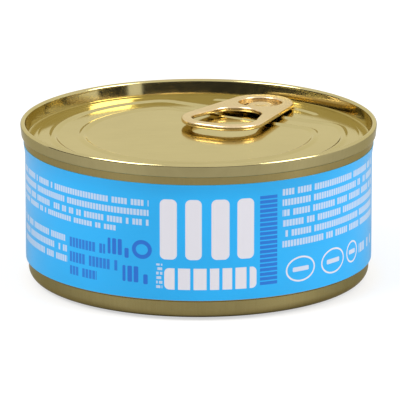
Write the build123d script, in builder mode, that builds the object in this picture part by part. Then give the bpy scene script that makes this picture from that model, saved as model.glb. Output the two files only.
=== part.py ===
"""Shallow food can with an easy-open end: a drawn can body, a printed label sleeve,
a double-seamed lid and a ring pull tab.

Millimetres, +Z up. The origin is the centre of the can's base, on the surface that
it stands on, and the ring pull's nose points away from the origin at TAB_AZIMUTH.
"""
from build123d import *
import math
import os

# Overall sizes
SEAM_DIAMETER = 86.0        # across the outside of the double seam
CAN_HEIGHT = 38.5           # standing ring to the top of the rim

# Double seam and rim
SEAM_HEIGHT = 3.25          # rim top to the seam's lower edge
RIM_RADIUS = 0.62           # full round of the rim in section
SEAM_TAPER = 0.2            # how far the seam wall draws in towards its lower edge
SEAM_EDGE_RADIUS = 0.5      # rounding of the seam's lower edge
SEAM_OVERHANG = 0.8         # seam wall beyond the neck under it

# Can wall
NECK_STEP = 0.45            # neck radius less the plain wall's radius
NECK_STRAIGHT = 0.95        # straight neck below the seam
FLARE_HEIGHT = 3.7          # height over which the wall swells into the neck
STACK_STEP_HEIGHT = 5.1     # top of the inward step at the foot of the wall
STACK_STEP = 0.53           # how far the foot lies inside the wall
STACK_STEP_DROP = 0.25      # height of the step's own slope

# Foot and base
FOOT_BEND_RADIUS = 2.4      # bend between the foot wall and the base
FOOT_STRAIGHT = 2.9         # height where the bend meets the foot wall
BASE_SLOPE = 8.5            # degrees, rise of the base outside the standing ring
STANDING_WIDTH = 0.6        # flat width of the standing ring
BASE_RECESS = 1.0           # base panel above the standing ring
BASE_WALL_RUN = 0.8         # width of the slope inside the standing ring
BASE_CENTRE_RADIUS = 27.0   # raised middle of the base
BASE_CENTRE_RISE = 0.4
BASE_STEP_RUN = 0.6

# Lid panel
PANEL_DEPTH = 3.5           # rim top to the lid panel
PANEL_THICKNESS = 0.5
CHUCK_WALL_DRAFT = 0.5      # how far the inner wall draws in on the way down
COUNTERSINK_DEPTH = 0.25
COUNTERSINK_WIDTH = 1.2
SCORE_INSET = 2.4           # from the foot of the inner wall to the score line
SCORE_WIDTH = 0.4
SCORE_DEPTH = 0.12
LID_SEAT_INSET = 0.4        # width of the body ledge that carries the lid
LID_CLEARANCE = 0.05        # lid plug inside the ledge

# Beads of the lid, and the shallow dish in its middle
DISH_RADIUS = 20.0
DISH_DEPTH = 0.15
DISH_SLOPE_RUN = 0.8
BEAD_WIDTH = 1.8
BEAD_HEIGHT = 0.35
BEAD_EDGE = 0.25
INNER_BEAD_RADIUS = 28.0
INNER_BEAD_CHORD = 18.6     # distance of its straight stretch from the centre
INNER_BEAD_CORNER = 6.0
OUTER_BEAD_RADIUS = 35.0
OUTER_BEAD_CHORD = 25.0
OUTER_BEAD_CORNER = 7.0
NOSE_BEAD_HALF_ANGLE = 24.0
NOSE_BEAD_WIDTH = 1.2
NOSE_BEAD_HEIGHT = 0.25
NOSE_BEAD_TAPER = 30.0      # degrees, slope of its sides from upright

# Rivet
RIVET_DISTANCE = 29.5       # from the centre of the lid
RIVET_ISLAND_RADIUS = 3.3
RIVET_ISLAND_HEIGHT = 0.4
RIVET_ISLAND_TAPER = 30.0   # degrees, slope of the island's side from upright
RIVET_SHANK_RADIUS = 2.2
RIVET_HEAD_RADIUS = 2.9
RIVET_HEAD_HEIGHT = 0.3
RIVET_HEAD_EDGE = 0.2

# Ring pull tab, along its own axis from the rivet: + towards the nose
TAB_AZIMUTH = 59.0          # degrees, of the rivet as seen from the lid's centre
TAB_TURN = 3.0              # degrees that the tab is turned about its rivet
TAB_LIFT = 1.0              # degrees that the ring end is raised
TAB_HEIGHT = 1.4            # over its curled edges
TAB_SEAT = 0.06             # clearance between tongue and rivet island
NOSE_RADIUS = 8.0
NOSE_CENTRE = 0.4
RING_END = 27.9             # rivet to the end of the ring
RING_WIDTH = 21.0
RING_CORNER_RADIUS = 8.5
RING_BAR_WIDTH = 2.5        # width of the ring's bar round the finger hole
HOLE_CORNER_RADIUS = 6.2
HOLE_FRONT = 7.0            # rivet to the finger hole's near end
HOLE_FRONT_RADIUS = 6.4
POCKET_RADIUS = 5.3         # opening in the nose, round the rivet
POCKET_HEEL = 3.3           # rivet to the pocket's straight end
POCKET_HEEL_WIDTH = 8.6
POCKET_CORNER_RADIUS = 1.2
TONGUE_THICKNESS = 0.35
TONGUE_HOLE_CLEARANCE = 0.15
SLIT_LENGTH = 4.0
SLIT_WIDTH = 0.6
SLIT_SPACING = 7.4
SLIT_CENTRE = -0.9
CURL_RADIUS = 0.6           # rounding of the tab's upper edges
UNDER_RADIUS = 0.5          # rounding of the tab's lower edges
POCKET_EDGE_RADIUS = 0.4

# Label sleeve
LABEL_TOP_GAP = 5.1         # rim top to the label's upper edge
LABEL_FOOT_GAP = 0.15       # stacking step to the label's lower edge
LABEL_THICKNESS = 0.1
LABEL_CLEARANCE = 0.05      # between wall and label

# Sizes that follow from those above
seam_radius = SEAM_DIAMETER / 2
neck_radius = seam_radius - SEAM_OVERHANG
wall_radius = neck_radius - NECK_STEP
foot_radius = wall_radius - STACK_STEP
seam_bottom = CAN_HEIGHT - SEAM_HEIGHT
rim_centre_z = CAN_HEIGHT - RIM_RADIUS
rim_centre_r = seam_radius - RIM_RADIUS
panel_z = CAN_HEIGHT - PANEL_DEPTH
panel_under_z = panel_z - PANEL_THICKNESS
neck_bottom = seam_bottom - NECK_STRAIGHT
flare_bottom = neck_bottom - FLARE_HEIGHT
chuck_top_r = seam_radius - 2 * RIM_RADIUS
chuck_foot_r = chuck_top_r - CHUCK_WALL_DRAFT
seat_radius = neck_radius - LID_SEAT_INSET
dish_z = panel_z - DISH_DEPTH
score_radius = chuck_foot_r - SCORE_INSET

ring_corner_x = RING_END - RING_CORNER_RADIUS
ring_corner_y = RING_WIDTH / 2 - RING_CORNER_RADIUS
hole_corner_x = RING_END - RING_BAR_WIDTH - HOLE_CORNER_RADIUS
hole_corner_y = RING_WIDTH / 2 - RING_BAR_WIDTH - HOLE_CORNER_RADIUS
pocket_corner_x = POCKET_HEEL - POCKET_CORNER_RADIUS
pocket_corner_y = POCKET_HEEL_WIDTH / 2 - POCKET_CORNER_RADIUS

label_top = CAN_HEIGHT - LABEL_TOP_GAP
label_bottom = STACK_STEP_HEIGHT + LABEL_FOOT_GAP

slope = math.radians(BASE_SLOPE)
bend_centre_r = foot_radius - FOOT_BEND_RADIUS
bend_start_r = bend_centre_r + FOOT_BEND_RADIUS * math.sin(slope)
bend_start_z = FOOT_STRAIGHT - FOOT_BEND_RADIUS * math.cos(slope)
standing_radius = bend_start_r - bend_start_z / math.tan(slope)

azimuth = math.radians(TAB_AZIMUTH)
heading = math.radians(TAB_AZIMUTH + TAB_TURN)
lift = math.radians(TAB_LIFT)
rivet_x = RIVET_DISTANCE * math.cos(azimuth)
rivet_y = RIVET_DISTANCE * math.sin(azimuth)
island_z = panel_z + RIVET_ISLAND_HEIGHT
tongue_swing = math.tan(lift) * RIVET_HEAD_RADIUS
tab_z = island_z + TAB_SEAT + tongue_swing
head_z = tab_z + TONGUE_THICKNESS + tongue_swing + TAB_SEAT

lid_frame = Plane(
    origin=(0, 0, panel_z),
    x_dir=(math.cos(azimuth), math.sin(azimuth), 0),
    z_dir=(0, 0, 1),
)
rivet_frame = Plane(origin=(rivet_x, rivet_y, panel_z), z_dir=(0, 0, 1))
tab_frame = Plane(
    origin=(rivet_x, rivet_y, tab_z),
    x_dir=(
        math.cos(heading) * math.cos(lift),
        math.sin(heading) * math.cos(lift),
        -math.sin(lift),
    ),
    z_dir=(
        math.cos(heading) * math.sin(lift),
        math.sin(heading) * math.sin(lift),
        math.cos(lift),
    ),
)


def flare(offset):
    """Draw the wall's swelling into the neck, moved outwards by offset."""
    Spline(
        (wall_radius + offset, flare_bottom),
        (neck_radius + offset, neck_bottom),
        tangents=((0, 1), (0, 1)),
    )


def chorded_circle(radius, chord, corner, mode=Mode.ADD):
    """Add a circle with one side cut straight across and its two corners rounded.

    The straight side lies at +X, at the distance chord from the centre.
    """
    with BuildSketch(mode=Mode.PRIVATE) as outline:
        Circle(radius)
        with Locations((chord + radius, 0)):
            Rectangle(2 * radius, 2 * radius, mode=Mode.SUBTRACT)
        fillet(outline.vertices(), corner)
    add(outline.sketch, mode=mode)


def bead_outline(radius, chord, corner):
    """Add the outline of a closed bead of BEAD_WIDTH along a chorded circle."""
    half = BEAD_WIDTH / 2
    chorded_circle(radius + half, chord + half, corner + half)
    chorded_circle(radius - half, chord - half, corner - half, mode=Mode.SUBTRACT)


def hull_of_circles(*circles):
    """Fill the outline stretched round circles, each given as x, y and radius."""
    for x, y, radius in circles:
        with Locations((x, y)):
            Circle(radius)
    make_hull()


# Can body: wall, foot and base, solid up to the lid's underside
with BuildPart() as can_body:
    with BuildSketch(Plane.XZ):
        with BuildLine():
            Polyline(
                (0, panel_under_z),
                (0, BASE_RECESS + BASE_CENTRE_RISE),
                (BASE_CENTRE_RADIUS - BASE_STEP_RUN, BASE_RECESS + BASE_CENTRE_RISE),
                (BASE_CENTRE_RADIUS, BASE_RECESS),
                (standing_radius - STANDING_WIDTH - BASE_WALL_RUN, BASE_RECESS),
                (standing_radius - STANDING_WIDTH, 0),
                (standing_radius, 0),
                (bend_start_r, bend_start_z),
            )
            CenterArc(
                (bend_centre_r, FOOT_STRAIGHT),
                FOOT_BEND_RADIUS,
                start_angle=BASE_SLOPE - 90,
                arc_size=90 - BASE_SLOPE,
            )
            Polyline(
                (foot_radius, FOOT_STRAIGHT),
                (foot_radius, STACK_STEP_HEIGHT - STACK_STEP_DROP),
                (wall_radius, STACK_STEP_HEIGHT),
                (wall_radius, flare_bottom),
            )
            flare(0)
            Polyline(
                (neck_radius, neck_bottom),
                (neck_radius, seam_bottom),
                (seat_radius, seam_bottom),
                (seat_radius, panel_under_z),
                (0, panel_under_z),
            )
        make_face()
    revolve(axis=Axis.Z)
can_body.part.label = "can_body"

# Label sleeve round the wall, following its flare up to the neck
with BuildPart() as label:
    label_inner = LABEL_CLEARANCE
    label_outer = LABEL_CLEARANCE + LABEL_THICKNESS
    with BuildSketch(Plane.XZ):
        with BuildLine():
            flare(label_inner)
            Line((neck_radius + label_inner, neck_bottom), (neck_radius + label_outer, neck_bottom))
            flare(label_outer)
            Polyline(
                (wall_radius + label_outer, flare_bottom),
                (wall_radius + label_outer, label_bottom),
                (wall_radius + label_inner, label_bottom),
                (wall_radius + label_inner, flare_bottom),
            )
        make_face()
    revolve(axis=Axis.Z)
    split(bisect_by=Plane.XY.offset(label_top), keep=Keep.BOTTOM)
label.part.label = "label"

# Lid: double seam, inner wall, countersink, beaded panel and rivet
nose_arc = CenterArc(
    (0, 0),
    OUTER_BEAD_RADIUS,
    start_angle=-NOSE_BEAD_HALF_ANGLE,
    arc_size=2 * NOSE_BEAD_HALF_ANGLE,
)
with BuildPart() as lid:
    with BuildSketch(Plane.XZ):
        with BuildLine():
            Polyline(
                (0, dish_z),
                (0, panel_under_z),
                (seat_radius - LID_CLEARANCE, panel_under_z),
                (seat_radius - LID_CLEARANCE, seam_bottom),
                (seam_radius - SEAM_TAPER - SEAM_EDGE_RADIUS, seam_bottom),
            )
            CenterArc(
                (seam_radius - SEAM_TAPER - SEAM_EDGE_RADIUS, seam_bottom + SEAM_EDGE_RADIUS),
                SEAM_EDGE_RADIUS,
                start_angle=-90,
                arc_size=90,
            )
            Line(
                (seam_radius - SEAM_TAPER, seam_bottom + SEAM_EDGE_RADIUS),
                (seam_radius, rim_centre_z),
            )
            CenterArc((rim_centre_r, rim_centre_z), RIM_RADIUS, start_angle=0, arc_size=180)
            Polyline(
                (chuck_top_r, rim_centre_z),
                (chuck_foot_r, panel_z),
                (chuck_foot_r - COUNTERSINK_WIDTH / 3, panel_z - COUNTERSINK_DEPTH),
                (chuck_foot_r - COUNTERSINK_WIDTH * 2 / 3, panel_z - COUNTERSINK_DEPTH),
                (chuck_foot_r - COUNTERSINK_WIDTH, panel_z),
                (score_radius + SCORE_WIDTH / 2, panel_z),
                (score_radius, panel_z - SCORE_DEPTH),
                (score_radius - SCORE_WIDTH / 2, panel_z),
                (DISH_RADIUS + DISH_SLOPE_RUN / 2, panel_z),
                (DISH_RADIUS - DISH_SLOPE_RUN / 2, dish_z),
                (0, dish_z),
            )
        make_face()
    revolve(axis=Axis.Z)
    for radius, chord, corner in (
        (INNER_BEAD_RADIUS, INNER_BEAD_CHORD, INNER_BEAD_CORNER),
        (OUTER_BEAD_RADIUS, OUTER_BEAD_CHORD, OUTER_BEAD_CORNER),
    ):
        with BuildSketch(lid_frame):
            bead_outline(radius, chord, corner)
        extrude(amount=BEAD_HEIGHT)
        crown = faces(Select.LAST).sort_by(Axis.Z)[-1]
        chamfer(crown.edges(), length=BEAD_EDGE)
    with BuildSketch(lid_frame):
        SlotArc(nose_arc, NOSE_BEAD_WIDTH)
    extrude(amount=NOSE_BEAD_HEIGHT, taper=NOSE_BEAD_TAPER)
    with BuildSketch(rivet_frame):
        Circle(RIVET_ISLAND_RADIUS)
    extrude(amount=RIVET_ISLAND_HEIGHT, taper=RIVET_ISLAND_TAPER)
    with BuildSketch(rivet_frame):
        Circle(RIVET_SHANK_RADIUS)
    extrude(amount=head_z - panel_z)
    with BuildSketch(rivet_frame.offset(head_z - panel_z)):
        Circle(RIVET_HEAD_RADIUS)
    extrude(amount=RIVET_HEAD_HEIGHT)
    fillet(faces(Select.LAST).sort_by(Axis.Z)[-1].edges(), radius=RIVET_HEAD_EDGE)
lid.part.label = "lid"

# Ring pull tab: ring with its finger hole, nose with its pocket, tongue and two slits
with BuildPart() as pull_tab:
    tab_normal = Axis(tab_frame.origin, tab_frame.z_dir)
    with BuildSketch(tab_frame):
        hull_of_circles(
            (NOSE_CENTRE, 0, NOSE_RADIUS),
            (-ring_corner_x, ring_corner_y, RING_CORNER_RADIUS),
            (-ring_corner_x, -ring_corner_y, RING_CORNER_RADIUS),
        )
    extrude(amount=TAB_HEIGHT)
    with BuildSketch(tab_frame):
        hull_of_circles(
            (-HOLE_FRONT - HOLE_FRONT_RADIUS, 0, HOLE_FRONT_RADIUS),
            (-hole_corner_x, hole_corner_y, HOLE_CORNER_RADIUS),
            (-hole_corner_x, -hole_corner_y, HOLE_CORNER_RADIUS),
        )
    extrude(amount=TAB_HEIGHT, mode=Mode.SUBTRACT)
    fillet(faces().sort_by(tab_normal)[-1].edges(), radius=CURL_RADIUS)
    fillet(faces().sort_by(tab_normal)[0].edges(), radius=UNDER_RADIUS)
    with BuildSketch(tab_frame.offset(TONGUE_THICKNESS)):
        hull_of_circles(
            (0, 0, POCKET_RADIUS),
            (-pocket_corner_x, pocket_corner_y, POCKET_CORNER_RADIUS),
            (-pocket_corner_x, -pocket_corner_y, POCKET_CORNER_RADIUS),
        )
    extrude(amount=TAB_HEIGHT, mode=Mode.SUBTRACT)
    pocket_mouth = faces().sort_by(tab_normal)[-1].inner_wires().sort_by(SortBy.LENGTH)[0]
    fillet(pocket_mouth.edges(), radius=POCKET_EDGE_RADIUS)
    with BuildSketch(tab_frame):
        Circle(RIVET_SHANK_RADIUS + TONGUE_HOLE_CLEARANCE)
        with Locations((SLIT_CENTRE, SLIT_SPACING / 2), (SLIT_CENTRE, -SLIT_SPACING / 2)):
            SlotOverall(SLIT_LENGTH, SLIT_WIDTH)
    extrude(amount=TONGUE_THICKNESS, mode=Mode.SUBTRACT)
pull_tab.part.label = "pull_tab"

os.makedirs("parts", exist_ok=True)
export_step(can_body.part, "parts/can_body.step")
export_step(label.part, "parts/label.step")
export_step(lid.part, "parts/lid.step")
export_step(pull_tab.part, "parts/pull_tab.step")
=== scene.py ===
"""Shallow fish can with an easy-open lid: its finishes, fine meshes, studio and camera.

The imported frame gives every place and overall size. Lengths in the classes below are
in millimetres, as on a can maker's drawing, and become metres when a mesh is made.
"""
import logging
import math
from dataclasses import dataclass
from enum import Enum
from typing import Optional, Sequence, Union

import bpy
from mathutils import Matrix, Vector

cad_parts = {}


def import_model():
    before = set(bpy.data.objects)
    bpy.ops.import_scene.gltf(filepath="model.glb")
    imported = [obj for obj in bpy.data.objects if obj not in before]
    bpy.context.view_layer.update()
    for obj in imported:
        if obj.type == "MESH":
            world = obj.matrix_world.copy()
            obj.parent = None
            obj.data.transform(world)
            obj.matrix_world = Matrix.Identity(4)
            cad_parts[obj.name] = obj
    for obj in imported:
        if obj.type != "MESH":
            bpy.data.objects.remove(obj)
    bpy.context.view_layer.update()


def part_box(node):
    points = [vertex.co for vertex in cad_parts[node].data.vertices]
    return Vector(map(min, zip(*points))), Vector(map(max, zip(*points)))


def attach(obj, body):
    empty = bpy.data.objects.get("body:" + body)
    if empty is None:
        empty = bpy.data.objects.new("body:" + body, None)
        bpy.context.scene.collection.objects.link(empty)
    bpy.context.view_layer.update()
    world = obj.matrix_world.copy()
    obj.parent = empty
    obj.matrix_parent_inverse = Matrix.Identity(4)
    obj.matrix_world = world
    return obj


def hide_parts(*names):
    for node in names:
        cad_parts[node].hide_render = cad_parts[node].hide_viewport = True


LOG = logging.getLogger("can")
MM = 0.001
SHARP_ANGLE = 50.0
WHITE = (1.0, 1.0, 1.0, 1.0)
Number = Union[int, float]
Pair = tuple[float, float]
Colour = tuple[float, float, float]


# ---------------------------------------------------------------- shader expressions


class Signal:
    """A value socket of a node tree that takes part in Python arithmetic."""

    def __init__(self, graph: "Graph", socket: bpy.types.NodeSocket) -> None:
        """Keep the graph and the socket.

        Args:
            graph: The graph that new Math nodes go to.
            socket: The output socket that carries the value.
        """
        self.graph = graph
        self.socket = socket

    def _math(self, operation: str, *others: "Operand", first: Optional["Operand"] = None) -> "Signal":
        """Add one Math node.

        Args:
            operation: The Math node's operation.
            others: The second and third inputs.
            first: The first input, if it isn't this signal.

        Returns:
            The node's result.
        """
        operands = (self if first is None else first, *others)
        return self.graph.value(
            "ShaderNodeMath", {"operation": operation}, dict(enumerate(operands)))

    def __add__(self, other: "Operand") -> "Signal":
        """Return self + other."""
        return self._math("ADD", other)

    __radd__ = __add__

    def __mul__(self, other: "Operand") -> "Signal":
        """Return self * other."""
        return self._math("MULTIPLY", other)

    __rmul__ = __mul__

    def __sub__(self, other: "Operand") -> "Signal":
        """Return self - other."""
        return self._math("SUBTRACT", other)

    def __rsub__(self, other: "Operand") -> "Signal":
        """Return other - self."""
        return self._math("SUBTRACT", self, first=other)

    def __truediv__(self, other: "Operand") -> "Signal":
        """Return self / other."""
        return self._math("DIVIDE", other)

    def __neg__(self) -> "Signal":
        """Return -self."""
        return self * -1.0

    def __abs__(self) -> "Signal":
        """Return the absolute value."""
        return self._math("ABSOLUTE")

    def __gt__(self, other: "Operand") -> "Signal":
        """Return 1 where self is greater, else 0."""
        return self._math("GREATER_THAN", other)

    def floor(self) -> "Signal":
        """Return the whole part."""
        return self._math("FLOOR")

    def fract(self) -> "Signal":
        """Return the part after the decimal point."""
        return self._math("FRACT")

    def sqrt(self) -> "Signal":
        """Return the square root."""
        return self._math("SQRT")

    def largest(self, other: "Operand") -> "Signal":
        """Return the larger of self and other."""
        return self._math("MAXIMUM", other)

    def angle(self, other: "Operand") -> "Signal":
        """Return the angle of self over other, in radians."""
        return self._math("ARCTAN2", other)

    def ramp(self, low: float, high: float) -> "Signal":
        """Return a smooth step that rises from low to high, or falls if high is less.

        Args:
            low: Where the step is 0.
            high: Where the step is 1.

        Returns:
            The step.
        """
        ends = {"Value": self, "From Min": low, "From Max": high}
        if high < low:
            ends = {"Value": self, "From Min": high, "From Max": low, "To Min": 1.0, "To Max": 0.0}
        return self.graph.value("ShaderNodeMapRange", {"interpolation_type": "SMOOTHSTEP"}, ends)


Operand = Union[Signal, Number]


class Graph:
    """A material's or the world's node tree, filled by expressions."""

    def __init__(self, tree: bpy.types.NodeTree) -> None:
        """Empty the tree.

        Args:
            tree: The node tree to fill.
        """
        self.tree = tree
        tree.nodes.clear()

    def node(self, kind: str, settings: Optional[dict] = None,
             inputs: Optional[dict] = None) -> bpy.types.Node:
        """Add one node.

        Args:
            kind: The node's type.
            settings: Properties that are set before the inputs.
            inputs: Values or links by socket name or number.

        Returns:
            The node.
        """
        made = self.tree.nodes.new(kind)
        for name, setting in (settings or {}).items():
            setattr(made, name, setting)
        for name, given in (inputs or {}).items():
            if isinstance(given, Signal):
                given = given.socket
            if isinstance(given, bpy.types.NodeSocket):
                self.tree.links.new(given, made.inputs[name])
            else:
                made.inputs[name].default_value = given
        return made

    def value(self, kind: str, settings: Optional[dict] = None,
              inputs: Optional[dict] = None, output: Union[int, str] = 0) -> Signal:
        """Add one node and wrap its output as a signal.

        Args:
            kind: The node's type.
            settings: Properties that are set before the inputs.
            inputs: Values or links by socket name or number.
            output: The output's name or number.

        Returns:
            The output's signal.
        """
        return Signal(self, self.node(kind, settings, inputs).outputs[output])

    def place(self) -> tuple[Signal, Signal, Signal]:
        """Return the surface point's x, y and z in millimetres."""
        where = self.node("ShaderNodeTexCoord").outputs["Object"]
        parts = self.node("ShaderNodeSeparateXYZ", inputs={0: where})
        return tuple(Signal(self, parts.outputs[axis]) / MM for axis in "XYZ")

    def vector(self, x: Operand, y: Operand, z: Operand) -> bpy.types.NodeSocket:
        """Join three values to a vector.

        Args:
            x: The first value.
            y: The second value.
            z: The third value.

        Returns:
            The vector's socket.
        """
        return self.node("ShaderNodeCombineXYZ", inputs={0: x, 1: y, 2: z}).outputs[0]

    def noise(self, where: bpy.types.NodeSocket, scale: float, detail: float = 2.0) -> Signal:
        """Return smooth noise between 0 and 1.

        Args:
            where: The place, as a vector.
            scale: Waves per unit.
            detail: How many finer layers are added.

        Returns:
            The noise.
        """
        return self.value("ShaderNodeTexNoise", {"noise_dimensions": "3D"},
                          {"Vector": where, "Scale": scale, "Detail": detail})

    def blend(self, share: Operand, first: object, second: object) -> bpy.types.NodeSocket:
        """Blend two colours.

        Args:
            share: The second colour's share.
            first: A colour or a colour's socket.
            second: A colour or a colour's socket.

        Returns:
            The blended colour's socket.
        """
        ends = {"Factor": share}
        made = self.node("ShaderNodeMix", {"data_type": "RGBA"}, ends)
        for number, given in ((6, first), (7, second)):
            if isinstance(given, bpy.types.NodeSocket):
                self.tree.links.new(given, made.inputs[number])
            else:
                made.inputs[number].default_value = (*given, 1.0)
        return made.outputs[2]

    def bump(self, height: Signal, depth: float) -> bpy.types.NodeSocket:
        """Return a normal that is tilted by a height field.

        Args:
            height: The height, about 0 to 1.
            depth: The height of 1, in millimetres.

        Returns:
            The normal's socket.
        """
        return self.node("ShaderNodeBump", inputs={
            "Height": height, "Distance": depth * MM, "Strength": 1.0}).outputs[0]

    def surface(self, **inputs: object) -> None:
        """Add the shader and the output.

        Args:
            inputs: The shader's inputs, with _ in place of spaces.
        """
        named = {name.replace("_", " "): given for name, given in inputs.items()}
        shader = self.node("ShaderNodeBsdfPrincipled", inputs=named)
        self.node("ShaderNodeOutputMaterial", inputs={"Surface": shader.outputs[0]})


def new_graph(name: str) -> tuple[bpy.types.Material, Graph]:
    """Make a material with an empty node tree.

    Args:
        name: The material's name.

    Returns:
        The material and its graph.
    """
    material = bpy.data.materials.new(name)
    material.use_nodes = True
    return material, Graph(material.node_tree)


# ------------------------------------------------------------------------- finishes


class Grain(Enum):
    """The way that a metal's fine marks run."""

    ROUND = "round the can"
    SHEET = "along the rolled sheet"
    FORMED = "none, softly uneven"


@dataclass(frozen=True)
class GoldLacquer:
    """Tin-plated or light metal under a thin gold lacquer."""

    name: str
    colour: Colour
    deep: Colour
    roughness: float = 0.2
    grain: Grain = Grain.SHEET
    grain_depth: float = 0.0006
    coat: float = 0.1
    turned_radius: float = 42.0
    along_grain: float = 0.12
    across_grain: float = 3.2
    turned_grain: float = 2.4
    formed_grain: float = 1.3
    cloud_scale: float = 0.07
    speck_scale: float = 2.6
    edge_tint: Colour = (0.86, 0.80, 0.58)

    def marks(self, graph: Graph) -> Signal:
        """Return the fine marks of the metal.

        Args:
            graph: The material's graph.

        Returns:
            The marks, 0 to 1.
        """
        x, y, z = graph.place()
        if self.grain is Grain.ROUND:
            turn = x.angle(y) * self.turned_radius
            return graph.noise(graph.vector(turn * self.turned_grain, z * self.along_grain, 0.0), 1.0, 3.0)
        if self.grain is Grain.SHEET:
            rolled = graph.vector(x * self.along_grain, y * self.across_grain, z * self.along_grain)
            return graph.noise(rolled, 1.0, 3.0)
        return graph.noise(graph.vector(x, y, z), self.formed_grain, 3.0)

    def material(self) -> bpy.types.Material:
        """Build the finish.

        Returns:
            The material.
        """
        material, graph = new_graph(self.name)
        x, y, z = graph.place()
        marks = self.marks(graph)
        clouds = graph.noise(graph.vector(x, y, z), self.cloud_scale, 2.0)
        specks = graph.noise(graph.vector(x, y, z), self.speck_scale, 2.0)
        tone = (clouds * 0.55 + marks * 0.45).ramp(0.3, 0.7)
        worn = specks.ramp(0.62, 0.8) * 0.05
        rough = self.roughness + (marks - 0.5) * 0.10 + (clouds - 0.5) * 0.08 + worn
        graph.surface(
            Base_Color=graph.blend(tone, self.deep, self.colour),
            Metallic=1.0,
            Specular_Tint=(*self.edge_tint, 1.0),
            Roughness=rough,
            Coat_Weight=self.coat,
            Coat_Roughness=0.12,
            Coat_IOR=1.45,
            Normal=graph.bump(marks * 0.7 + specks * 0.3, self.grain_depth),
        )
        return material


@dataclass(frozen=True)
class PrintBlock:
    """A block of small print: its place, size and rows."""

    centre: Pair
    size: Pair
    pitch: float
    stroke: float = 0.85
    fill: float = 0.62
    strength: float = 0.68
    seed: float = 1.0
    gaps: float = 0.12
    shift: float = 0.63


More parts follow.
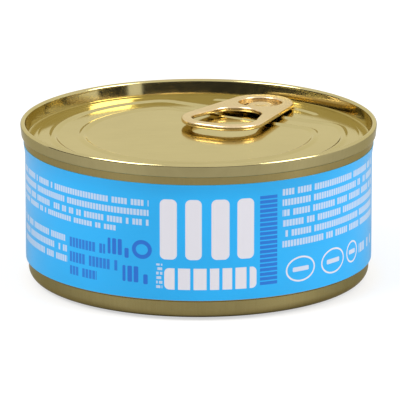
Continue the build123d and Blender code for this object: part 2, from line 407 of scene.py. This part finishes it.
@dataclass(frozen=True)
class Print:
    """Flat shapes printed in white and dark blue on a blue ground, under a clear varnish."""

    name: str
    radius: float
    ground: Colour = (0.010, 0.475, 1.0)
    pale: Colour = (0.82, 0.80, 0.86)
    dark: Colour = (0.005, 0.16, 0.66)
    edge: float = 0.06
    tall_middle: float = 22.5
    tall_height: float = 14.6
    tall_corner: float = 1.3
    outline: float = 0.4
    tall_places: tuple[float, ...] = (-7.2, -1.2, 5.2, 11.3)
    tall_widths: tuple[float, ...] = (4.1, 3.9, 4.3, 4.1)
    second_line: tuple[Pair, Pair] = ((2.9, 10.5), (22.2, 5.2))
    ovals: tuple[tuple[Pair, Pair], ...] = (
        ((26.0, 11.0), (8.6, 6.2)), ((36.7, 11.0), (8.6, 6.2)), ((44.9, 11.4), (5.4, 5.4)),
    )
    cut_places: tuple[float, ...] = (-5.3, -1.6, 2.3, 5.3, 8.4, 11.9)
    pale_blocks: tuple[PrintBlock, ...] = (
        PrintBlock((-36.5, 26.2), (49.0, 7.1), 2.36, seed=3.0),
        PrintBlock((-40.5, 21.5), (41.0, 1.7), 2.36, seed=4.0),
        PrintBlock((-48.0, 14.0), (25.0, 7.2), 2.5, seed=9.0),
        PrintBlock((40.5, 23.9), (39.5, 15.0), 2.53, seed=5.0),
        PrintBlock((54.0, 11.2), (10.5, 3.6), 3.6, 1.7, seed=6.0),
        PrintBlock((-9.4, 11.0), (1.5, 6.2), 1.1, 1.5, seed=7.0),
    )
    dark_blocks: tuple[PrintBlock, ...] = (
        PrintBlock((17.1, 19.2), (4.5, 22.0), 1.1, 40.0, 0.72, 0.95, gaps=-1.0, shift=0.0),
        PrintBlock((-29.0, 16.2), (11.2, 2.6), 2.6, 1.05, 0.9, 0.9, 8.0),
        PrintBlock((-27.3, 12.6), (14.6, 2.8), 2.8, 1.05, 0.9, 0.9, 5.0),
        PrintBlock((-30.2, 9.3), (8.6, 2.4), 2.4, 1.05, 0.9, 0.9, 6.0),
    )
    dark_boxes: tuple[tuple[float, float, float, float], ...] = (
        (-22.3, 17.2, 0.8, 3.9), (-20.9, 17.2, 1.1, 3.9), (-19.4, 17.2, 1.1, 3.9), (-17.6, 16.0, 1.1, 2.4),
        (-18.3, 11.0, 0.8, 3.9), (-16.8, 11.0, 1.2, 3.9), (-15.2, 11.0, 1.2, 3.9), (-12.8, 10.0, 1.1, 2.4),
    )

    def box(self, across: Signal, up: Signal, centre: Pair, size: Pair, corner: float) -> Signal:
        """Return the mask of a rounded box.

        Args:
            across: Place round the can.
            up: Place up the can.
            centre: The box's middle.
            size: Its width and height.
            corner: Its corner radius.

        Returns:
            The mask.
        """
        over_x = (abs(across - centre[0]) - (size[0] / 2 - corner)).largest(0.0)
        over_z = (abs(up - centre[1]) - (size[1] / 2 - corner)).largest(0.0)
        distance = (over_x * over_x + over_z * over_z).sqrt() - corner
        return distance.ramp(self.edge, -self.edge)

    def oval(self, across: Signal, up: Signal, centre: Pair, size: Pair) -> Signal:
        """Return the mask of an upright oval.

        Args:
            across: Place round the can.
            up: Place up the can.
            centre: The oval's middle.
            size: Its width and height.

        Returns:
            The mask.
        """
        x = (across - centre[0]) / (size[0] / 2)
        z = (up - centre[1]) / (size[1] / 2)
        softness = 2 * self.edge / min(size)
        return ((x * x + z * z).sqrt() - 1.0).ramp(softness, -softness)

    def ring(self, across: Signal, up: Signal, centre: Pair, size: Pair, line: float) -> Signal:
        """Return the mask of an oval outline.

        Args:
            across: Place round the can.
            up: Place up the can.
            centre: The oval's middle.
            size: Its width and height.
            line: The outline's width.

        Returns:
            The mask.
        """
        inner = (size[0] - 2 * line, size[1] - 2 * line)
        return self.oval(across, up, centre, size) - self.oval(across, up, centre, inner)

    def rows(self, graph: Graph, across: Signal, up: Signal, block: "PrintBlock") -> Signal:
        """Return the mask of small print, as rows of short strokes.

        Args:
            graph: The material's graph.
            across: Place round the can.
            up: Place up the can.
            block: The block of small print.

        Returns:
            The mask.
        """
        level = (up - (block.centre[1] - block.size[1] / 2)) / block.pitch
        row = level.floor()
        stroke = abs(level.fract() - 0.5).ramp(block.fill / 2 + 0.03, block.fill / 2 - 0.03)
        cell = (across + row * block.shift) / block.stroke
        word = graph.value("ShaderNodeTexWhiteNoise", {"noise_dimensions": "3D"},
                           {"Vector": graph.vector(cell.floor(), row, block.seed)})
        dash = (word > block.gaps) * abs(cell.fract() - 0.5).ramp(0.45, 0.33)
        return stroke * dash * self.box(across, up, block.centre, block.size, 0.05)

    def material(self) -> bpy.types.Material:
        """Build the print.

        Returns:
            The material.
        """
        material, graph = new_graph(self.name)
        x, y, z = graph.place()
        across = x.angle(-y) * self.radius
        up = z
        pale = self.box(across, up, *self.second_line, 1.2)
        for middle, width in zip(self.tall_places, self.tall_widths):
            spot, size = (middle, self.tall_middle), (width, self.tall_height)
            pale = pale.largest(self.box(across, up, spot, size, self.tall_corner))
        for middle in self.cut_places:
            pale = pale * (1.0 - self.box(across, up, (middle, 10.5), (0.8, 5.6), 0.1))
        for block in self.pale_blocks:
            pale = pale.largest(self.rows(graph, across, up, block) * block.strength)
        for spot, size in self.ovals:
            pale = pale.largest(self.ring(across, up, spot, size, self.outline))
            pale = pale.largest(self.box(across, up, spot, (size[0] * 0.55, 1.1), 0.3) * 0.8)
        dark = self.ring(across, up, (-13.7, 17.2), (5.0, 4.6), 1.0)
        for middle, height, spread, tall in self.dark_boxes:
            dark = dark.largest(self.box(across, up, (middle, height), (spread, tall), 0.3))
        for block in self.dark_blocks:
            dark = dark.largest(self.rows(graph, across, up, block) * block.strength)
        clouds = graph.noise(graph.vector(x, y, z), 0.05, 1.0)
        deeper = tuple(channel * 0.93 for channel in self.ground)
        ground = graph.blend(clouds.ramp(0.3, 0.7), deeper, self.ground)
        colour = graph.blend(dark, ground, self.dark)
        colour = graph.blend(pale, colour, self.pale)
        ink = graph.noise(graph.vector(x, y, z), 3.0, 3.0)
        graph.surface(
            Base_Color=colour,
            Roughness=0.3 + (ink - 0.5) * 0.1,
            Coat_Weight=0.35,
            Coat_Roughness=0.08,
            Normal=graph.bump(ink, 0.0012),
        )
        return material


@dataclass(frozen=True)
class FloorFinish:
    """A pale floor that looks white, keeps a soft shadow and is greyer in reflections."""

    name: str = "pale_floor"
    seen: float = 0.98
    mirrored: float = 0.34
    glow: float = 0.6

    def material(self) -> bpy.types.Material:
        """Build the finish.

        Returns:
            The material.
        """
        material, graph = new_graph(self.name)
        seen = Signal(graph, graph.node("ShaderNodeLightPath").outputs["Is Camera Ray"])
        tone = graph.blend(seen, (self.mirrored,) * 3, (self.seen,) * 3)
        plain = graph.node("ShaderNodeBsdfPrincipled", inputs={"Base Color": tone, "Roughness": 0.6})
        glow = graph.node("ShaderNodeEmission", inputs={"Strength": 1.0})
        mixed = graph.node("ShaderNodeMixShader", inputs={
            0: seen * self.glow, 1: plain.outputs[0], 2: glow.outputs[0]})
        graph.node("ShaderNodeOutputMaterial", inputs={"Surface": mixed.outputs[0]})
        return material


@dataclass(frozen=True)
class CardFinish:
    """Dull dark card."""

    name: str
    tone: float = 0.025

    def material(self) -> bpy.types.Material:
        """Build the finish.

        Returns:
            The material.
        """
        material, graph = new_graph(self.name)
        graph.surface(Base_Color=(self.tone, self.tone, self.tone, 1.0), Roughness=0.9)
        return material


# --------------------------------------------------------------------- mesh helpers


def ring_mesh(name: str, loops: Sequence[Sequence[Vector]], middle: bool = False) -> bpy.types.Object:
    """Skin closed loops of equal length into one closed surface.

    Args:
        name: The piece's name.
        loops: Loops of points in millimetres. The last joins the first, unless the
            first and last are closed by a middle point.
        middle: Whether the first and last loop are closed by a point on the axis.

    Returns:
        The new object.
    """
    count = len(loops[0])
    points = [tuple(point * MM for point in spot) for loop in loops for spot in loop]
    faces = []
    last = len(loops) if not middle else len(loops) - 1
    for number in range(last):
        a = number * count
        b = (number + 1) % len(loops) * count
        for step in range(count):
            after = (step + 1) % count
            faces.append((a + step, a + after, b + after, b + step))
    if middle:
        for number, turned in ((0, True), (len(loops) - 1, False)):
            start = number * count
            height = sum(spot[2] for spot in loops[number]) / count
            points.append((0.0, 0.0, height * MM))
            for step in range(count):
                after = (step + 1) % count
                face = (start + step, start + after, len(points) - 1)
                faces.append(face[::-1] if turned else face)
    mesh = bpy.data.meshes.new(name)
    mesh.from_pydata(points, [], faces)
    mesh.validate()
    mesh.update()
    piece = bpy.data.objects.new(name, mesh)
    bpy.context.scene.collection.objects.link(piece)
    return piece


def circle_loop(radius: float, height: float, count: int, centre: Pair = (0.0, 0.0)) -> list[Vector]:
    """Return a level circle of points.

    Args:
        radius: Its radius.
        height: Its height.
        count: How many points it has.
        centre: Its middle.

    Returns:
        The points.
    """
    turns = (math.tau * step / count for step in range(count))
    return [Vector((centre[0] + radius * math.cos(turn), centre[1] + radius * math.sin(turn), height))
            for turn in turns]


def arc(centre: Pair, radius: float, start: float, end: float, steps: int) -> list[Pair]:
    """Return points along an arc of a profile.

    Args:
        centre: The arc's centre, as radius and height.
        radius: The arc's radius.
        start: The first point's direction, in degrees from outwards.
        end: The last point's direction.
        steps: How many stretches it has.

    Returns:
        The points.
    """
    turns = (math.radians(start + (end - start) * step / steps) for step in range(steps + 1))
    return [(centre[0] + radius * math.cos(turn), centre[1] + radius * math.sin(turn)) for turn in turns]


def smooth(value: float, low: float, high: float) -> float:
    """Return a smooth step from 0 at low to 1 at high."""
    share = min(max((value - low) / (high - low), 0.0), 1.0)
    return share * share * (3.0 - 2.0 * share)


def hump(distance: float, half_width: float) -> float:
    """Return a rounded crest: 1 at no distance, 0 from half_width on."""
    share = min(abs(distance) / half_width, 1.0)
    return (1.0 - share * share) ** 2


def shade_smooth(piece: bpy.types.Object, sharp: float = SHARP_ANGLE) -> None:
    """Shade a piece smooth, but for edges that turn by more than an angle.

    Args:
        piece: The piece.
        sharp: The angle in degrees.
    """
    piece.data.shade_smooth()
    piece.data.set_sharp_from_angle(angle=math.radians(sharp))


def dress(piece: bpy.types.Object, material: bpy.types.Material, node: str) -> None:
    """Give a new piece its material, body, slot and the node that it stands for.

    Args:
        piece: The piece.
        material: Its material.
        node: The solid that it replaces.
    """
    piece.data.materials.clear()
    piece.data.materials.append(material)
    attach(piece, "root")
    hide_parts(node)


# --------------------------------------------------------------------- sub-assemblies


@dataclass
class CanSizes:
    """The can's main sizes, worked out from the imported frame."""

    seam_radius: float
    height: float
    seam_bottom: float
    neck_radius: float
    label_radius: float
    label_low: float
    label_high: float
    lid_under: float

    @classmethod
    def from_frame(cls) -> "CanSizes":
        """Read the sizes from the frame's boxes.

        Returns:
            The sizes in millimetres.
        """
        low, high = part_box("lid")
        body_low, body_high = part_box("can_body")
        label_low, label_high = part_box("label")
        return cls(
            seam_radius=(high[0] - low[0]) / 2 / MM,
            height=high[2] / MM,
            seam_bottom=body_high[2] / MM,
            neck_radius=(body_high[0] - body_low[0]) / 2 / MM,
            label_radius=(label_high[0] - label_low[0]) / 2 / MM,
            label_low=label_low[2] / MM,
            label_high=label_high[2] / MM,
            lid_under=low[2] / MM,
        )


@dataclass
class CanBody:
    """The drawn can: neck, wall, stacking step, foot, standing ring and base."""

    sizes: CanSizes
    neck_step: float = 0.45
    neck_straight: float = 0.95
    flare_height: float = 3.7
    step_top: float = 5.1
    step_depth: float = 0.53
    step_drop: float = 0.25
    bend_radius: float = 2.4
    bend_top: float = 2.9
    base_slope: float = 8.5
    standing_width: float = 0.6
    base_recess: float = 1.0
    base_wall: float = 0.8
    middle_radius: float = 27.0
    middle_rise: float = 0.4
    middle_run: float = 0.6
    lap: float = 0.4
    segments: int = 256

    def wall_radius(self) -> float:
        """Return the plain wall's radius."""
        return self.sizes.neck_radius - self.neck_step

    def radius_at(self, height: float) -> float:
        """Return the wall's radius at a height above the step.

        Args:
            height: The height.

        Returns:
            The radius.
        """
        top = self.sizes.seam_bottom - self.neck_straight
        return self.wall_radius() + self.neck_step * smooth(height, top - self.flare_height, top)

    def profile(self) -> list[Pair]:
        """Return the outline from the base's middle to the top.

        Returns:
            Points as radius and height.
        """
        foot = self.wall_radius() - self.step_depth
        bend = (foot - self.bend_radius, self.bend_top)
        curve = arc(bend, self.bend_radius, self.base_slope - 90.0, 0.0, 14)
        stand = curve[0][0] - curve[0][1] / math.tan(math.radians(self.base_slope))
        inner = stand - self.standing_width
        inside = self.base_recess + self.middle_rise
        outline = [(self.middle_radius * share, inside) for share in (0.3, 0.7, 0.96)]
        for share in (0.0, 0.25, 0.5, 0.75, 1.0):
            drop = self.middle_rise * smooth(share, 0, 1)
            outline += [(self.middle_radius + self.middle_run * share, inside - drop)]
        outline += [(inner - self.base_wall - 0.6, self.base_recess)]
        outline += [(inner - self.base_wall * (1 - share), self.base_recess * (1 - smooth(share, 0, 1)))
                    for share in (0.0, 0.2, 0.4, 0.6, 0.8, 1.0)]
        outline += [(stand, 0.0), (stand + 0.25, 0.02)]
        outline += curve
        outline += [(foot, self.step_top - self.step_drop - 0.25)]
        outline += arc((foot + 0.18, self.step_top - self.step_drop - 0.18), 0.18, 180.0, 110.0, 4)
        outline += arc((self.wall_radius() - 0.12, self.step_top + 0.06), 0.12, -70.0, 0.0, 4)
        heights = [self.step_top + 1.0, 12.0, 20.0, 27.0]
        top = self.sizes.seam_bottom - self.neck_straight
        heights += [top - self.flare_height * (1 - share / 12) for share in range(13)]
        heights += [self.sizes.seam_bottom]
        outline += [(self.radius_at(height), height) for height in heights]
        lapped = self.sizes.neck_radius - self.lap
        outline += [(lapped, self.sizes.seam_bottom), (lapped, self.sizes.lid_under),
                    (1.0, self.sizes.lid_under)]
        return outline

    def build(self, finish: GoldLacquer) -> bpy.types.Object:
        """Build and dress the can.

        Args:
            finish: The can's finish.

        Returns:
            The piece.
        """
        loops = [circle_loop(radius, height, self.segments) for radius, height in self.profile()]
        piece = ring_mesh("can_shell", loops, middle=True)
        shade_smooth(piece)
        dress(piece, finish.material(), "can_body")
        return piece


@dataclass
class LabelSleeve:
    """The printed side, a thin sleeve that follows the wall."""

    sizes: CanSizes
    body: CanBody
    clearance: float = 0.02
    edge_inset: float = 0.03
    steps: int = 24
    segments: int = 256

    def build(self) -> bpy.types.Object:
        """Build and dress the sleeve.

        Returns:
            The piece.
        """
        low, high = self.sizes.label_low, self.sizes.label_high
        heights = [low + (high - low) * step / self.steps for step in range(self.steps + 1)]
        skin = self.sizes.label_radius - self.body.radius_at(high)
        outer = [(self.body.radius_at(height) + skin, height) for height in heights]
        inner = [(self.body.radius_at(height) + self.clearance, height) for height in reversed(heights)]
        outer[0] = (outer[0][0] - self.edge_inset, outer[0][1])
        outer[-1] = (outer[-1][0] - self.edge_inset, outer[-1][1])
        loops = [circle_loop(radius, height, self.segments) for radius, height in outer + inner]
        piece = ring_mesh("printed_side", loops)
        shade_smooth(piece)
        finish = Print("blue_print", self.sizes.label_radius)
        dress(piece, finish.material(), "label")
        return piece


@dataclass
class LoopBead:
    """A closed bead that runs round the lid and straight across under the ring pull."""

    radius: float
    chord: float
    corner: float
    half_width: float = 1.15
    height: float = 0.38

    def distance(self, along: float, beside: float) -> float:
        """Return the signed distance from the bead's crest.

        Args:
            along: Place along the ring pull's direction.
            beside: Place across it.

        Returns:
            The distance, negative inside.
        """
        inner_r = self.radius - self.corner
        inner_c = self.chord - self.corner
        reach = math.hypot(along, beside)
        tip = math.sqrt(inner_r * inner_r - inner_c * inner_c)
        out_round = reach - inner_r
        out_flat = along - inner_c
        if reach > 0 and along * inner_r / reach > inner_c and abs(beside) > tip:
            return math.hypot(along - inner_c, abs(beside) - tip) - self.corner
        return max(out_round, out_flat) - self.corner

    def rise(self, along: float, beside: float) -> float:
        """Return the bead's height at a place."""
        return self.height * hump(self.distance(along, beside), self.half_width)


@dataclass
class Lid:
    """The easy-open end: double seam, inner wall, countersink, beads, dish and rivet."""

    sizes: CanSizes
    azimuth: float = 59.0
    rim_radius: float = 0.62
    seam_taper: float = 0.2
    seam_edge: float = 0.5
    panel_depth: float = 3.5
    wall_draft: float = 0.5
    countersink_depth: float = 0.25
    countersink_width: float = 1.2
    score_inset: float = 2.4
    score_depth: float = 0.10
    score_half_width: float = 0.22
    dish_radius: float = 20.0
    dish_depth: float = 0.15
    nose_half_angle: float = 24.0
    nose_height: float = 0.28
    nose_half_width: float = 0.8
    rivet_distance: float = 29.5
    rivet_head_radius: float = 2.9
    rivet_head_top: float = 1.27
    island_radius: float = 3.3
    island_height: float = 0.4
    beads: tuple[LoopBead, ...] = (LoopBead(28.0, 18.6, 6.0), LoopBead(35.0, 25.0, 7.0))
    segments: int = 540
    fine_step: float = 0.25

    def foot_radius(self) -> float:
        """Return the radius where the inner wall meets the panel."""
        return self.sizes.seam_radius - 2 * self.rim_radius - self.wall_draft

    def panel_z(self) -> float:
        """Return the panel's height."""
        return self.sizes.height - self.panel_depth

    def relief(self, x: float, y: float) -> float:
        """Return the panel's relief over its plain level.

        Args:
            x: Place to the right.
            y: Place to the back.

        Returns:
            The relief in millimetres.
        """
        turn = math.radians(self.azimuth)
        along = x * math.cos(turn) + y * math.sin(turn)
        beside = y * math.cos(turn) - x * math.sin(turn)
        reach = math.hypot(x, y)
        rise = max(bead.rise(along, beside) for bead in self.beads)
        rise -= self.dish_depth * (1.0 - smooth(reach, self.dish_radius - 0.5, self.dish_radius + 0.5))
        nose = math.radians(self.nose_half_angle)
        bearing = math.atan2(beside, along)
        held = min(max(bearing, -nose), nose)
        crest = self.beads[-1].radius
        gap = math.hypot(along - crest * math.cos(held), beside - crest * math.sin(held))
        rise = max(rise, self.nose_height * hump(gap, self.nose_half_width))
        rivet = math.hypot(along - self.rivet_distance, beside)
        island = 1.0 - smooth(rivet, self.island_radius - 0.5, self.island_radius)
        rise = max(rise, self.island_height * island)
        foot = self.foot_radius()
        rise -= self.score_depth * hump(reach - (foot - self.score_inset), self.score_half_width)
        sink_middle = foot - self.countersink_width / 2
        rise -= self.countersink_depth * hump(reach - sink_middle, self.countersink_width * 0.62)
        return rise

    def panel_loops(self) -> list[list[Vector]]:
        """Return the panel's loops, from the middle to the foot of the inner wall."""
        foot = self.foot_radius()
        radii = [2.0, 5.0, 8.0, 11.0, 14.0, 16.0]
        count = round((foot - 17.0) / self.fine_step)
        radii += [17.0 + (foot - 17.0) * step / count for step in range(count + 1)]
        level = self.panel_z()
        loops = []
        for radius in radii:
            loop = circle_loop(radius, level, self.segments)
            loops.append([Vector((spot.x, spot.y, level + self.relief(spot.x, spot.y))) for spot in loop])
        return loops

    def seam_profile(self) -> list[Pair]:
        """Return the outline from the inner wall over the rim to the underside."""
        seam = self.sizes.seam_radius
        rim = (seam - self.rim_radius, self.sizes.height - self.rim_radius)
        top = (seam - 2 * self.rim_radius, rim[1])
        foot = (self.foot_radius(), self.panel_z())
        outline = [(foot[0] + (top[0] - foot[0]) * share, foot[1] + (top[1] - foot[1]) * share)
                   for share in (0.06, 0.15, 0.35, 0.6, 0.85)]
        outline += arc(rim, self.rim_radius, 180.0, 0.0, 14)
        edge = (seam - self.seam_taper - self.seam_edge, self.sizes.seam_bottom + self.seam_edge)
        outline += [(seam - self.seam_taper * share, rim[1] + (edge[1] - rim[1]) * share)
                    for share in (0.2, 0.4, 0.6, 0.8)]
        outline += arc(edge, self.seam_edge, 0.0, -90.0, 8)
        outline += [(self.sizes.neck_radius - 0.45, self.sizes.seam_bottom),
                    (self.sizes.neck_radius - 0.45, self.sizes.lid_under), (1.0, self.sizes.lid_under)]
        return outline

    def build(self, finish: GoldLacquer) -> bpy.types.Object:
        """Build and dress the lid.

        Args:
            finish: The lid's finish.

        Returns:
            The piece.
        """
        loops = self.panel_loops()
        loops += [circle_loop(radius, height, self.segments) for radius, height in self.seam_profile()]
        piece = ring_mesh("easy_open_end", [loop[::-1] for loop in loops], middle=True)
        shade_smooth(piece)
        dress(piece, finish.material(), "lid")
        return piece

    def build_rivet(self, finish: GoldLacquer) -> bpy.types.Object:
        """Build and dress the rivet that is formed from the lid.

        Args:
            finish: The rivet's finish.

        Returns:
            The piece.
        """
        turn = math.radians(self.azimuth)
        centre = (self.rivet_distance * math.cos(turn), self.rivet_distance * math.sin(turn))
        level = self.panel_z()
        head = self.rivet_head_radius
        top = level + self.rivet_head_top
        outline = [(0.5, level + 0.3), (2.2, level + 0.3), (2.2, top - 0.3), (head - 0.1, top - 0.3)]
        outline += arc((head - 0.15, top - 0.16), 0.15, -60.0, 80.0, 6)
        outline += [(head - 0.8, top), (head - 1.3, top - 0.05), (head - 1.7, top - 0.13), (0.5, top - 0.16)]
        loops = [circle_loop(radius, height, 48) for radius, height in outline]
        piece = ring_mesh("rivet_head", loops, middle=True)
        piece.data.transform(Matrix.Translation(Vector((centre[0], centre[1], 0.0)) * MM))
        shade_smooth(piece)
        dress(piece, finish.material(), "lid")
        return piece


@dataclass
class RingPull:
    """The ring pull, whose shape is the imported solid's own."""

    node: str = "pull_tab"

    def build(self, finish: GoldLacquer) -> bpy.types.Object:
        """Dress the ring pull.

        Args:
            finish: The ring pull's finish.

        Returns:
            The piece.
        """
        piece = bpy.data.objects[self.node]
        piece.data.materials.clear()
        piece.data.materials.append(finish.material())
        return piece


# --------------------------------------------------------------------------- studio


@dataclass
class Studio:
    """The pale floor, the soft light and the camera."""

    can_height: float
    aim_below_top: float = 11.0
    elevation: float = 14.6
    distance: float = 1.26
    lens: float = 469.2
    aim_drop: float = 8.9
    aim_side: float = 0.34
    floor_size: float = 6.0
    world_level: float = 0.75
    card_reach: float = 1.5
    card_low: float = 0.002
    card_high: float = 0.44

    @property
    def middle(self) -> Vector:
        """Return the point that the lamps face and the camera turns on."""
        return Vector((0.0, 0.0, (self.can_height - self.aim_below_top) * MM))

    def floor(self) -> bpy.types.Object:
        """Lay the floor.

        Returns:
            The floor.
        """
        half = self.floor_size / 2
        mesh = bpy.data.meshes.new("studio_floor")
        corners = [(-half, -half, 0), (half, -half, 0), (half, half, 0), (-half, half, 0)]
        mesh.from_pydata(corners, [], [(0, 1, 2, 3)])
        piece = bpy.data.objects.new("studio_floor", mesh)
        bpy.context.scene.collection.objects.link(piece)
        mesh.materials.append(FloorFinish().material())
        return piece

    def lamp(self, name: str, place: Vector, size: Pair, power: float) -> bpy.types.Object:
        """Hang a soft box that points at the can.

        Args:
            name: Its name.
            place: Where it hangs, in metres.
            size: Its width and height, in metres.
            power: Its power in watts.

        Returns:
            The lamp.
        """
        data = bpy.data.lights.new(name, "AREA")
        data.shape = "RECTANGLE"
        data.size, data.size_y = size
        data.energy = power
        piece = bpy.data.objects.new(name, data)
        piece.location = place
        piece.rotation_euler = (self.middle - place).to_track_quat("-Z", "Y").to_euler()
        bpy.context.scene.collection.objects.link(piece)
        return piece

    def world(self) -> None:
        """Make the white surroundings, seen at full white and weaker as a light."""
        world = bpy.data.worlds.new("surroundings")
        bpy.context.scene.world = world
        world.use_nodes = True
        graph = Graph(world.node_tree)
        path = graph.node("ShaderNodeLightPath")
        seen = Signal(graph, path.outputs["Is Camera Ray"])
        for name in ("Is Glossy Ray", "Is Transmission Ray"):
            seen = seen.largest(Signal(graph, path.outputs[name]))
        strength = self.world_level + seen * (1.0 - self.world_level)
        back = graph.node("ShaderNodeBackground", inputs={"Color": WHITE, "Strength": strength})
        graph.node("ShaderNodeOutputWorld", inputs={"Surface": back.outputs[0]})

    def flag(self, name: str, turn: Pair) -> bpy.types.Object:
        """Stand a curved dark card round the camera's side, for the metal to reflect.

        Args:
            name: Its name.
            turn: Its two ends, in degrees round from the camera's side.

        Returns:
            The card.
        """
        steps = 24
        corners = []
        for step in range(steps + 1):
            way = math.radians(turn[0] + (turn[1] - turn[0]) * step / steps)
            spot = (self.card_reach * math.sin(way), -self.card_reach * math.cos(way))
            corners += [(*spot, self.card_low), (*spot, self.card_high)]
        faces = [(2 * step, 2 * step + 2, 2 * step + 3, 2 * step + 1) for step in range(steps)]
        mesh = bpy.data.meshes.new(name)
        mesh.from_pydata(corners, [], faces)
        piece = bpy.data.objects.new(name, mesh)
        bpy.context.scene.collection.objects.link(piece)
        mesh.materials.append(CardFinish(name).material())
        piece.visible_camera = False
        piece.visible_shadow = False
        return piece

    def camera(self) -> bpy.types.Object:
        """Set the camera up.

        Returns:
            The camera.
        """
        data = bpy.data.cameras.new("camera")
        data.lens = self.lens
        data.sensor_width = 36.0
        piece = bpy.data.objects.new("camera", data)
        up = math.radians(self.elevation)
        piece.location = self.middle + self.distance * Vector((0.0, -math.cos(up), math.sin(up)))
        aim = self.middle + Vector((self.aim_side, 0.0, -self.aim_drop)) * MM
        piece.rotation_euler = (aim - piece.location).to_track_quat("-Z", "Y").to_euler()
        bpy.context.scene.collection.objects.link(piece)
        bpy.context.scene.camera = piece
        return piece

    def build(self) -> None:
        """Set everything up."""
        self.floor()
        self.world()
        self.lamp("soft_box_left", Vector((-0.9, -0.5, 1.1)), (0.9, 0.7), 15.5)
        self.lamp("soft_box_right", Vector((1.0, -0.4, 0.8)), (0.7, 0.7), 11.0)
        self.flag("dark_card_wide", (-110.0, 39.0))
        self.flag("dark_card_narrow", (49.0, 72.0))
        self.camera()
        view = bpy.context.scene.view_settings
        view.view_transform = "Standard"


# ----------------------------------------------------------------------------- main


def main() -> None:
    """Load the frame and build everything."""
    logging.basicConfig(level=logging.INFO, format="%(message)s")
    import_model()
    sizes = CanSizes.from_frame()
    Studio(sizes.height).build()
    gold_can = GoldLacquer("gold_can", (0.46, 0.365, 0.145), (0.40, 0.315, 0.12), 0.2, Grain.ROUND)
    gold_lid = GoldLacquer("gold_lid", (0.56, 0.475, 0.225), (0.51, 0.43, 0.20), 0.1, Grain.SHEET)
    tab_metal = GoldLacquer("tab_metal", (0.76, 0.59, 0.345), (0.68, 0.52, 0.29), 0.22, Grain.FORMED)
    body = CanBody(sizes)
    LOG.info("can shell: %s", body.build(gold_can).name)
    LOG.info("printed side: %s", LabelSleeve(sizes, body).build().name)
    lid = Lid(sizes)
    LOG.info("lid: %s", lid.build(gold_lid).name)
    LOG.info("rivet: %s", lid.build_rivet(tab_metal).name)
    LOG.info("ring pull: %s", RingPull().build(tab_metal).name)


if __name__ == "__main__":
    main()
